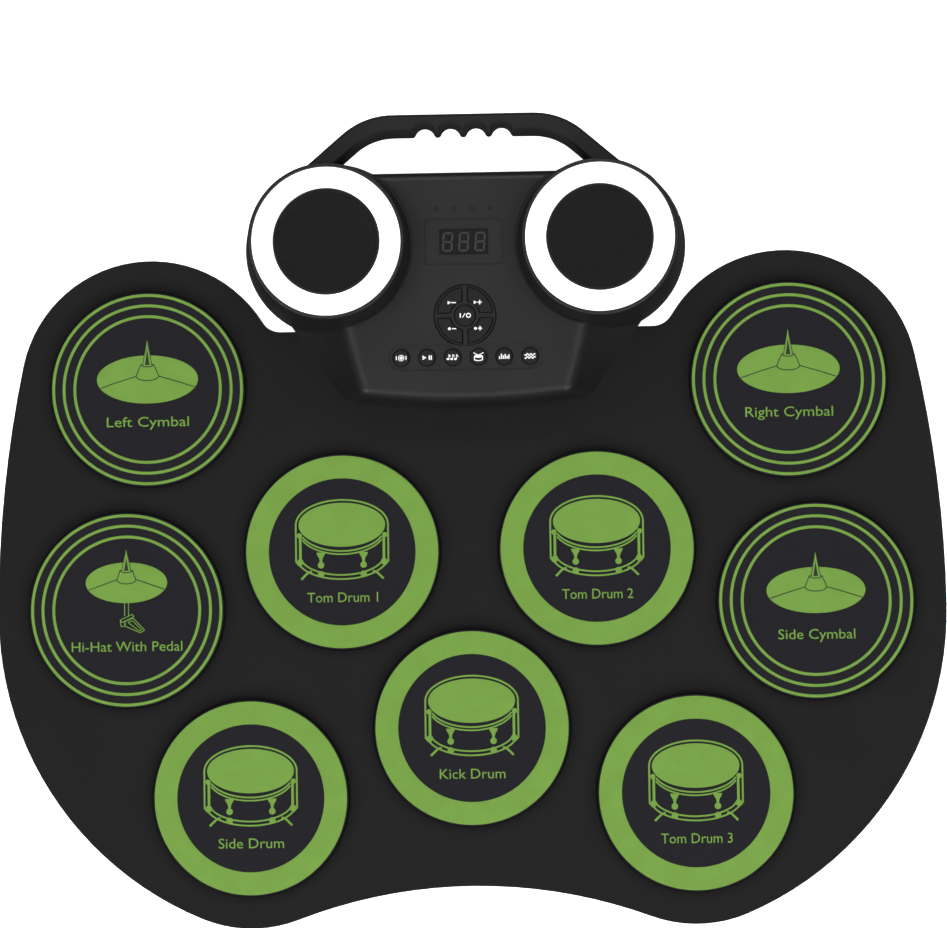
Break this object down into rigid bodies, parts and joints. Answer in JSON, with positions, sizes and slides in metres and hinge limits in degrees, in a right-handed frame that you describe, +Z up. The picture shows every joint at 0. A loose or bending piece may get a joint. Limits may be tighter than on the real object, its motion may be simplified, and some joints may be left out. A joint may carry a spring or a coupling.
{
  "type": "electronic drum pad",
  "caption": "Tabletop electronic drum pad: a flexible lobed mat with round playing pads, and a console with keys, display, carry handle and ringed loudspeakers.",
  "frame": {"origin": "centre of the footprint, on the surface the pad lies on", "axes": "+X towards the player's right, +Y away from the player towards the handle, +Z up"},
  "size_m": [0.435, 0.37, 0.04],
  "materials": {
    "mat_sheet": "charcoal silicone, fine grain, satin",
    "mat_backing": "black non-slip backing, fine ribbed",
    "film": "clear polyester with printed tracks",
    "pad_skin": "dark playing surface with green rings and white print",
    "foam": "soft black foam",
    "ribbon": "polyester ribbon with printed tracks",
    "shell": "charcoal moulded plastic, fine texture",
    "handle": "charcoal moulded plastic, satin",
    "button": "black keys with white print",
    "keypad": "grey silicone keypad",
    "board": "green circuit board with parts",
    "steel": "zinc plated steel",
    "window": "smoked clear plastic",
    "digits": "three-digit lamp module",
    "lamp_pipe": "smoked light pipes",
    "basket": "black pressed steel frame",
    "magnet": "ferrite magnet between steel plates",
    "cone_paper": "black paper cone with a rubber edge",
    "grille": "black punched steel",
    "ring_white": "white frosted diffuser, lit from behind",
    "lamp_board": "white circuit board with lamps",
    "battery": "foil pouch cell in a wrap",
    "socket": "black moulded sockets with metal contacts",
    "usb_metal": "drawn steel shell",
    "foot": "black rubber"
  },
  "bodies": {
    "console_and_mat": {"audio_jacks": "socket", "battery_pack": "battery", "board_screws": "steel", "carry_handle": "handle", "clamp_screws": "steel", "display_module": "digits", "display_window": "window", "grille_left": "grille", "grille_right": "grille", "handle_screws": "steel", "housing_screws": "steel", "indicator_light_pipes": "lamp_pipe", "key_board": "board", "led_board_left": "lamp_board", "led_board_right": "lamp_board", "light_ring_left": "ring_white", "light_ring_right": "ring_white", "lower_housing": "shell", "main_board": "board", "mat_base_sheet": "mat_backing", "mat_clamp_plate": "steel", "mat_top_sheet": "mat_sheet", "pad_cushions": "foam", "ribbon_tail": "ribbon", "rubber_feet": "foot", "rubber_keypad": "keypad", "speaker_basket_left": "basket", "speaker_basket_right": "basket", "speaker_magnet_left": "magnet", "speaker_magnet_right": "magnet", "speaker_screws": "steel", "trigger_film_lower": "film", "trigger_film_spacer": "film", "trigger_film_upper": "film", "upper_housing": "shell", "usb_socket": "usb_metal"},
    "pad_crash_left_body": {"pad_crash_left": "pad_skin"},
    "pad_crash_right_body": {"pad_crash_right": "pad_skin"},
    "pad_floor_tom_body": {"pad_floor_tom": "pad_skin"},
    "pad_hi_hat_body": {"pad_hi_hat": "pad_skin"},
    "pad_kick_body": {"pad_kick": "pad_skin"},
    "pad_ride_body": {"pad_ride": "pad_skin"},
    "pad_snare_body": {"pad_snare": "pad_skin"},
    "pad_tom_high_body": {"pad_tom_high": "pad_skin"},
    "pad_tom_low_body": {"pad_tom_low": "pad_skin"},
    "key_demo_body": {"key_demo": "button"},
    "key_kit_body": {"key_kit": "button"},
    "key_play_body": {"key_play": "button"},
    "key_power_body": {"key_power": "button"},
    "key_record_body": {"key_record": "button"},
    "key_rhythm_body": {"key_rhythm": "button"},
    "key_style_body": {"key_style": "button"},
    "key_tempo_down_body": {"key_tempo_down": "button"},
    "key_tempo_up_body": {"key_tempo_up": "button"},
    "key_volume_down_body": {"key_volume_down": "button"},
    "key_volume_up_body": {"key_volume_up": "button"},
    "speaker_cone_left_body": {"speaker_cone_left": "cone_paper"},
    "speaker_cone_right_body": {"speaker_cone_right": "cone_paper"}
  },
  "joints": [
    {"name": "pad_crash_left_press", "type": "slide", "parent": "console_and_mat", "child": "pad_crash_left_body", "axis": [0, 0, -1], "range_m": [0, 0.0006], "stiffness_N_per_m": 3000, "deforming": ["pad_cushions"]},
    {"name": "pad_crash_right_press", "type": "slide", "parent": "console_and_mat", "child": "pad_crash_right_body", "axis": [0, 0, -1], "range_m": [0, 0.0006], "stiffness_N_per_m": 3000, "deforming": ["pad_cushions"]},
    {"name": "pad_floor_tom_press", "type": "slide", "parent": "console_and_mat", "child": "pad_floor_tom_body", "axis": [0, 0, -1], "range_m": [0, 0.0006], "stiffness_N_per_m": 3000, "deforming": ["pad_cushions"]},
    {"name": "pad_hi_hat_press", "type": "slide", "parent": "console_and_mat", "child": "pad_hi_hat_body", "axis": [0, 0, -1], "range_m": [0, 0.0006], "stiffness_N_per_m": 3000, "deforming": ["pad_cushions"]},
    {"name": "pad_kick_press", "type": "slide", "parent": "console_and_mat", "child": "pad_kick_body", "axis": [0, 0, -1], "range_m": [0, 0.0006], "stiffness_N_per_m": 3000, "deforming": ["pad_cushions"]},
    {"name": "pad_ride_press", "type": "slide", "parent": "console_and_mat", "child": "pad_ride_body", "axis": [0, 0, -1], "range_m": [0, 0.0006], "stiffness_N_per_m": 3000, "deforming": ["pad_cushions"]},
    {"name": "pad_snare_press", "type": "slide", "parent": "console_and_mat", "child": "pad_snare_body", "axis": [0, 0, -1], "range_m": [0, 0.0006], "stiffness_N_per_m": 3000, "deforming": ["pad_cushions"]},
    {"name": "pad_tom_high_press", "type": "slide", "parent": "console_and_mat", "child": "pad_tom_high_body", "axis": [0, 0, -1], "range_m": [0, 0.0006], "stiffness_N_per_m": 3000, "deforming": ["pad_cushions"]},
    {"name": "pad_tom_low_press", "type": "slide", "parent": "console_and_mat", "child": "pad_tom_low_body", "axis": [0, 0, -1], "range_m": [0, 0.0006], "stiffness_N_per_m": 3000, "deforming": ["pad_cushions"]},
    {"name": "key_demo_press", "type": "slide", "parent": "console_and_mat", "child": "key_demo_body", "axis": [0, 0.0719, -0.9974], "range_m": [0, 0.0007], "stiffness_N_per_m": 200, "deforming": ["rubber_keypad"]},
    {"name": "key_kit_press", "type": "slide", "parent": "console_and_mat", "child": "key_kit_body", "axis": [0, 0.0719, -0.9974], "range_m": [0, 0.0007], "stiffness_N_per_m": 200, "deforming": ["rubber_keypad"]},
    {"name": "key_play_press", "type": "slide", "parent": "console_and_mat", "child": "key_play_body", "axis": [0, 0.0719, -0.9974], "range_m": [0, 0.0007], "stiffness_N_per_m": 200, "deforming": ["rubber_keypad"]},
    {"name": "key_power_press", "type": "slide", "parent": "console_and_mat", "child": "key_power_body", "axis": [0, 0.0719, -0.9974], "range_m": [0, 0.0007], "stiffness_N_per_m": 200, "deforming": ["rubber_keypad"]},
    {"name": "key_record_press", "type": "slide", "parent": "console_and_mat", "child": "key_record_body", "axis": [0, 0.0719, -0.9974], "range_m": [0, 0.0007], "stiffness_N_per_m": 200, "deforming": ["rubber_keypad"]},
    {"name": "key_rhythm_press", "type": "slide", "parent": "console_and_mat", "child": "key_rhythm_body", "axis": [0, 0.0719, -0.9974], "range_m": [0, 0.0007], "stiffness_N_per_m": 200, "deforming": ["rubber_keypad"]},
    {"name": "key_style_press", "type": "slide", "parent": "console_and_mat", "child": "key_style_body", "axis": [0, 0.0719, -0.9974], "range_m": [0, 0.0007], "stiffness_N_per_m": 200, "deforming": ["rubber_keypad"]},
    {"name": "key_tempo_down_press", "type": "slide", "parent": "console_and_mat", "child": "key_tempo_down_body", "axis": [0, 0.0719, -0.9974], "range_m": [0, 0.0007], "stiffness_N_per_m": 200, "deforming": ["rubber_keypad"]},
    {"name": "key_tempo_up_press", "type": "slide", "parent": "console_and_mat", "child": "key_tempo_up_body", "axis": [0, 0.0719, -0.9974], "range_m": [0, 0.0007], "stiffness_N_per_m": 200, "deforming": ["rubber_keypad"]},
    {"name": "key_volume_down_press", "type": "slide", "parent": "console_and_mat", "child": "key_volume_down_body", "axis": [0, 0.0719, -0.9974], "range_m": [0, 0.0007], "stiffness_N_per_m": 200, "deforming": ["rubber_keypad"]},
    {"name": "key_volume_up_press", "type": "slide", "parent": "console_and_mat", "child": "key_volume_up_body", "axis": [0, 0.0719, -0.9974], "range_m": [0, 0.0007], "stiffness_N_per_m": 200, "deforming": ["rubber_keypad"]},
    {"name": "speaker_cone_left_travel", "type": "slide", "parent": "console_and_mat", "child": "speaker_cone_left_body", "axis": [0, 0, 1], "range_m": [-0.0008, 0.0008], "stiffness_N_per_m": 1500},
    {"name": "speaker_cone_right_travel", "type": "slide", "parent": "console_and_mat", "child": "speaker_cone_right_body", "axis": [0, 0, 1], "range_m": [-0.0008, 0.0008], "stiffness_N_per_m": 1500}
  ]
}
